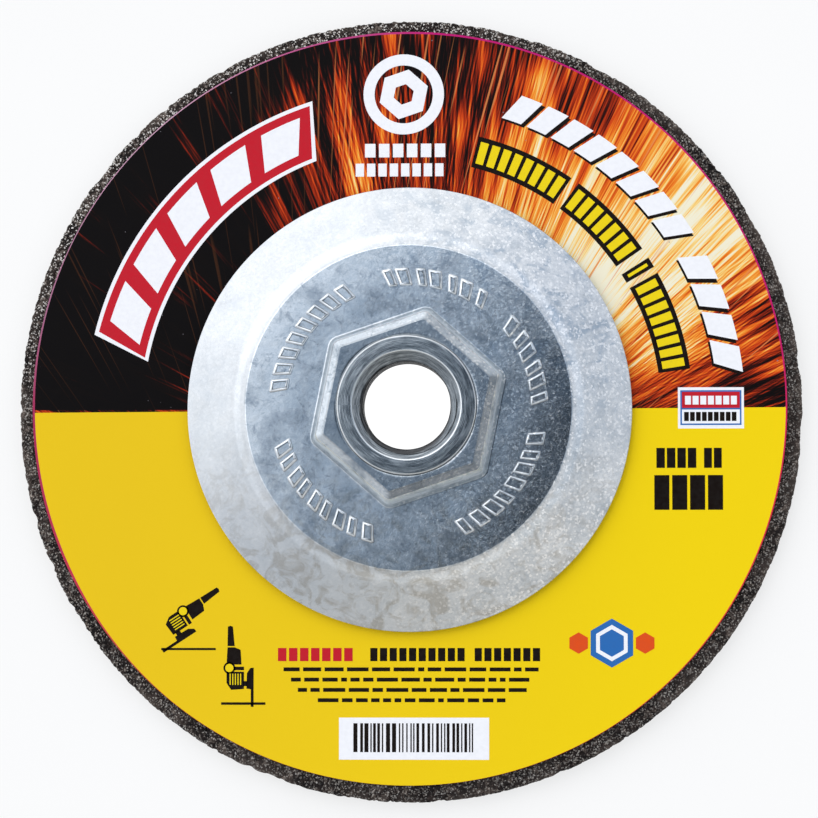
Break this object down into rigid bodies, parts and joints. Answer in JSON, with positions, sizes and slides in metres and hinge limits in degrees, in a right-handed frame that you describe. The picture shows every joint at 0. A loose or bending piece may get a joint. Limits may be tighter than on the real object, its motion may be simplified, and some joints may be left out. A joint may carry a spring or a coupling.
{
  "type": "grinding disc",
  "caption": "Depressed-centre abrasive disc with a printed paper label and a fixed steel hub, whose threaded hexagonal nut screws straight onto an angle grinder's spindle.",
  "frame": {"origin": "on the disc's axis, in the plane of the work face that the disc lies on", "axes": "+Z along the axis towards the label and the hub's nut; +Y towards the label's dark half, +X to its right"},
  "size_m": [0.1258, 0.1258, 0.0165],
  "materials": {
    "abrasive": "matte",
    "label_paper": "satin",
    "zinc_plated_steel": "satin",
    "nut_steel": "satin",
    "washer_steel": "satin"
  },
  "bodies": {
    "root": {"abrasive_wheel": "abrasive", "paper_label": "label_paper", "back_flange": "zinc_plated_steel", "spindle_nut": "nut_steel", "front_washer": "washer_steel"}
  },
  "joints": []
}
